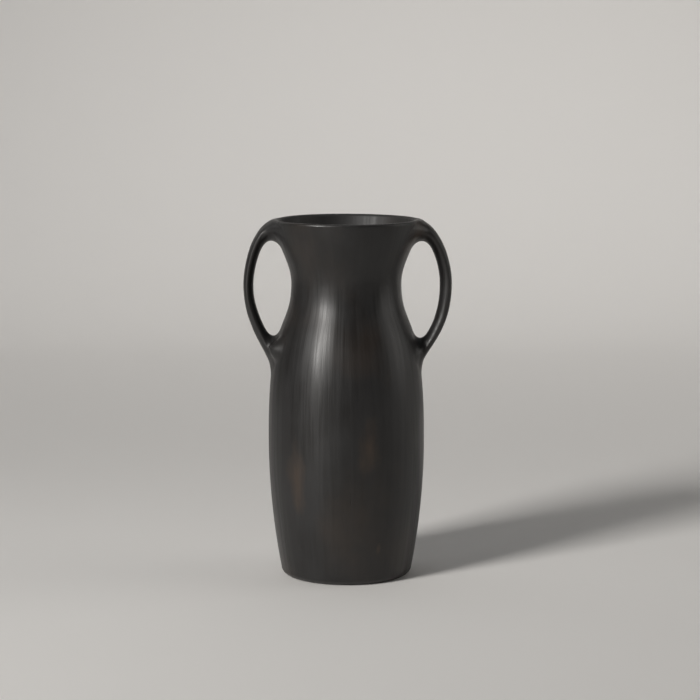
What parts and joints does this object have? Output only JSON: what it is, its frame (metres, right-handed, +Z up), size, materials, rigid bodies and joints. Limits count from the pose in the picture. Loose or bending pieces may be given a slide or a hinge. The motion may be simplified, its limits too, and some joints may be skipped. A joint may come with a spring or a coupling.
{
  "type": "two-handled clay vase",
  "caption": "Tall black clay vase with a flared mouth, a narrow neck, a long rounded body and a strap handle on each side from rim to shoulder.",
  "frame": {"origin": "centre of the flat face that the vase stands on", "axes": "+Z up through the mouth; the handles stand along -X (left) and +X (right); -Y is the front"},
  "size_m": [0.2035, 0.153, 0.35],
  "materials": {
    "wall_clay": "burnished black clay, satin, with fine upright rubbing marks and faint brown smudges",
    "handle_clay": "burnished black clay, satin, with rubbing marks along the strap",
    "foot_clay": "black clay, burnished round the edge and plain and dull underneath"
  },
  "bodies": {
    "root": {"floor_slab": "foot_clay", "lower_wall": "wall_clay", "belly_wall": "wall_clay", "shoulder_wall": "wall_clay", "neck_wall": "wall_clay", "rim_coil": "wall_clay", "handle_left": "handle_clay", "handle_right": "handle_clay", "lute_upper_left": "handle_clay", "lute_upper_right": "handle_clay", "lute_lower_left": "handle_clay", "lute_lower_right": "handle_clay"}
  },
  "joints": []
}
